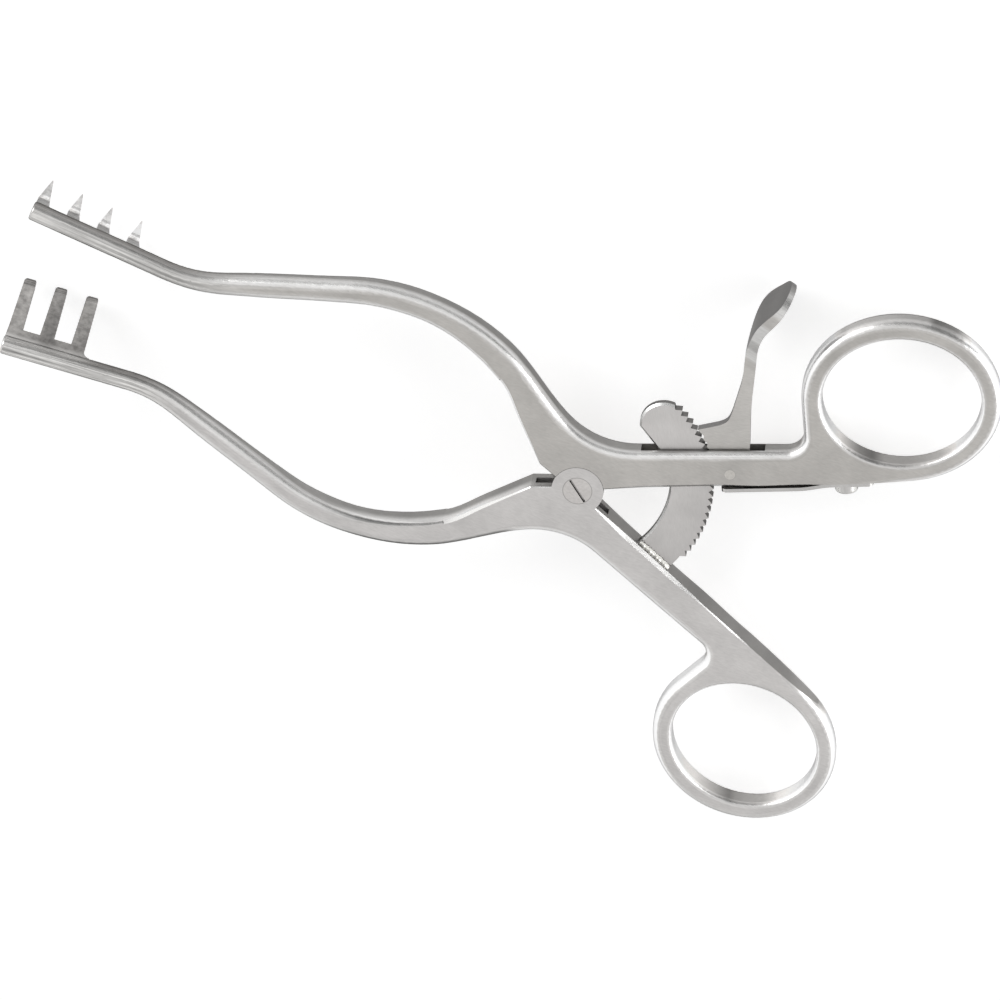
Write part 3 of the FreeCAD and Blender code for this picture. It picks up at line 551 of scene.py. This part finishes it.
def buildPores():
    # little balls along a path, each moved and sized at random
    tree = bpy.data.node_groups.new("pores", "GeometryNodeTree")
    tree.interface.new_socket(name="Path", in_out="INPUT", socket_type="NodeSocketGeometry")
    sockets = {}
    for label, kind in (("Radius", "NodeSocketFloat"), ("Spacing", "NodeSocketFloat"),
                        ("Wander", "NodeSocketFloat"), ("Seed", "NodeSocketInt"),
                        ("Material", "NodeSocketMaterial")):
        sockets[label] = tree.interface.new_socket(name=label, in_out="INPUT",
                                                   socket_type=kind).identifier
    tree.interface.new_socket(name="Pores", in_out="OUTPUT", socket_type="NodeSocketGeometry")
    given = tree.nodes.new("NodeGroupInput").outputs
    curve = addNode(tree, "GeometryNodeMeshToCurve", {"Mesh": given["Path"]})
    points = addNode(tree, "GeometryNodeCurveToPoints",
                     {"Curve": curve.outputs["Curve"], "Length": given["Spacing"]}, mode="LENGTH")
    low, high = (addNode(tree, "ShaderNodeVectorMath",
                         {0: tuple(sign * part for part in pores["spread"]),
                          "Scale": given["Wander"]}, operation="SCALE").outputs[0]
                 for sign in (-1, 1))
    shift = addNode(tree, "FunctionNodeRandomValue",
                    {"Min": low, "Max": high, "Seed": given["Seed"]}, data_type="FLOAT_VECTOR")
    moved = addNode(tree, "GeometryNodeSetPosition",
                    {"Geometry": points.outputs["Points"], "Offset": shift.outputs["Value"]})
    ball = addNode(tree, "GeometryNodeMeshIcoSphere",
                   {"Subdivisions": pores["subdivisions"], "Radius": given["Radius"]})
    smallest, largest = pores["sizes"]
    grow = addNode(tree, "FunctionNodeRandomValue",
                   {"Min": smallest, "Max": largest, "Seed": given["Seed"]}, data_type="FLOAT")
    spread = addNode(tree, "GeometryNodeInstanceOnPoints",
                     {"Points": moved.outputs["Geometry"], "Instance": ball.outputs["Mesh"],
                      "Scale": grow.outputs["Value"]})
    real = addNode(tree, "GeometryNodeRealizeInstances",
                   {"Geometry": spread.outputs["Instances"]})
    dress = addNode(tree, "GeometryNodeSetMaterial",
                    {"Geometry": real.outputs["Geometry"], "Material": given["Material"]})
    setSockets(tree, tree.nodes.new("NodeGroupOutput"), {"Pores": dress.outputs["Geometry"]})
    return tree, sockets


def makePores():
    ends = (seam["from"] + pores["endGap"], seam["to"] - pores["endGap"])
    points = [seamPoint(run, seam["fillet"] * pores["lift"], side * seam["barHalf"])
              for side in (1, -1) for run in ends]
    path = bpy.data.meshes.new("porePath")
    path.from_pydata(points, [(0, 1), (2, 3)], [])
    carrier = addObject("porePath", path)
    tree, sockets = buildPores()
    modifier = carrier.modifiers.new("pores", "NODES")
    modifier.node_group = tree
    modifier[sockets["Radius"]] = pores["radius"] * mm
    modifier[sockets["Spacing"]] = pores["spacing"] * mm
    modifier[sockets["Wander"]] = pores["wander"] * mm
    modifier[sockets["Seed"]] = pores["seed"]
    modifier[sockets["Material"]] = steel("braze_dark", poreFinish)
    graph = bpy.context.evaluated_depsgraph_get()
    mesh = bpy.data.meshes.new_from_object(carrier.evaluated_get(graph), depsgraph=graph)
    mesh.name = "braze_pores"
    bpy.data.objects.remove(carrier)
    piece = addObject("braze_pores", mesh)
    for face in mesh.polygons:
        face.use_smooth = True
    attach(piece, "lower_side")
    print("pores:", len(mesh.polygons), "faces")


makeSeam()
makePores()
print("brazed seam made")


# Floor, light and camera

studio = {"floorHalf": 3.0, "floorColor": 0.82, "floorRoughness": 0.9, "floorSpecular": 0.1,
          "floorGlow": 0.55, "sky": 1.0, "fill": 0.45, "skyline": (0.75, 0.5)}
# What polished edges reflect low down round the set, by heading
horizon = [(0.0, 1.0), (0.56, 1.0), (0.6, 0.9), (0.625, 0.12), (0.66, 0.3), (0.69, 0.5),
           (0.82, 0.5), (0.88, 1.0)]


def makeFloor():
    mesh = bpy.data.meshes.new("studioFloor")
    half = studio["floorHalf"]
    corners = [(-half, -half, 0), (half, -half, 0), (half, half, 0), (-half, half, 0)]
    mesh.from_pydata(corners, [], [(0, 1, 2, 3)])
    floor = addObject("studioFloor", mesh)
    material = bpy.data.materials.new("studioPaper")
    material.use_nodes = True
    tree = material.node_tree
    # it glows for the camera and in the metal, and keeps the object's shadow
    sight = seenBy(tree, "Is Camera Ray", "Is Glossy Ray", "Is Transmission Ray")
    shade = studio["floorColor"]
    setSockets(tree, tree.nodes["Principled BSDF"], {
        "Base Color": (shade, shade, shade, 1), "Roughness": studio["floorRoughness"],
        "Specular IOR Level": studio["floorSpecular"], "Emission Color": (1, 1, 1, 1),
        "Emission Strength": mapRange(tree, sight, 0.0, 1.0, 0.0, studio["floorGlow"],
                                      smooth=False)})
    mesh.materials.append(material)


def makeWorld():
    # white for the camera, panels of grey in the metal, and a weaker even light on the object
    world = bpy.data.worlds.new("studio")
    scene.world = world
    world.use_nodes = True
    tree = world.node_tree
    coords = addNode(tree, "ShaderNodeTexCoord")
    split = addNode(tree, "ShaderNodeSeparateXYZ", {0: coords.outputs["Generated"]})
    panels = rampNode(tree, headingNode(tree, split.outputs[1], split.outputs[0]), horizon)
    low = mapRange(tree, split.outputs[2], *studio["skyline"])
    room = mixNode(tree, "FLOAT", low, studio["sky"], panels)
    mirrored = seenBy(tree, "Is Glossy Ray", "Is Transmission Ray")
    lit = mixNode(tree, "FLOAT", mirrored, studio["fill"], room)
    seen = mixNode(tree, "FLOAT", seenBy(tree, "Is Camera Ray"), lit, studio["sky"])
    setSockets(tree, tree.nodes["Background"], {"Color": (1, 1, 1, 1), "Strength": seen})


lamps = {
    "right": {"at": (480, 170, 230), "towards": (0, 0, 0), "size": (420, 260), "power": 0.9},
    "left": {"at": (-520, 230, 240), "towards": (-20, 0, 0), "size": (420, 260), "power": 0.9},
}


def makeLamp(name, choice):
    light = bpy.data.lights.new(name, "AREA")
    light.shape = "RECTANGLE"
    light.size, light.size_y = (side * mm for side in choice["size"])
    light.energy = choice["power"]
    lamp = addObject(name, light)
    spot = place(*choice["at"])
    lamp.location = spot
    lamp.rotation_euler = (place(*choice["towards"]) - spot).to_track_quat("-Z", "Y").to_euler()


# The photograph's view, in the instrument's own axes
view = {"target": (-9.536, -5.593, 2.05), "from": (-0.06499, 0.48643, 0.87130),
        "imageRight": (0.93711, 0.32981, -0.11423), "distance": 555.24, "lens": 142.78,
        "sensor": 36, "clipStart": 0.01}


def makeCamera():
    data = bpy.data.cameras.new("photoView")
    data.sensor_width = view["sensor"]
    data.lens = view["lens"]
    data.clip_start = view["clipStart"]
    camera = addObject("photoView", data)
    back = turned(*view["from"]).normalized()
    right = turned(*view["imageRight"]).normalized()
    up = back.cross(right)
    spot = place(*view["target"]) + back * view["distance"] * mm
    turn = Matrix((right, up, back)).transposed().to_4x4()
    camera.matrix_world = Matrix.Translation(spot) @ turn
    scene.camera = camera


makeFloor()
makeWorld()
for name, choice in lamps.items():
    makeLamp(name, choice)
makeCamera()
print("stage, lamps and camera set")
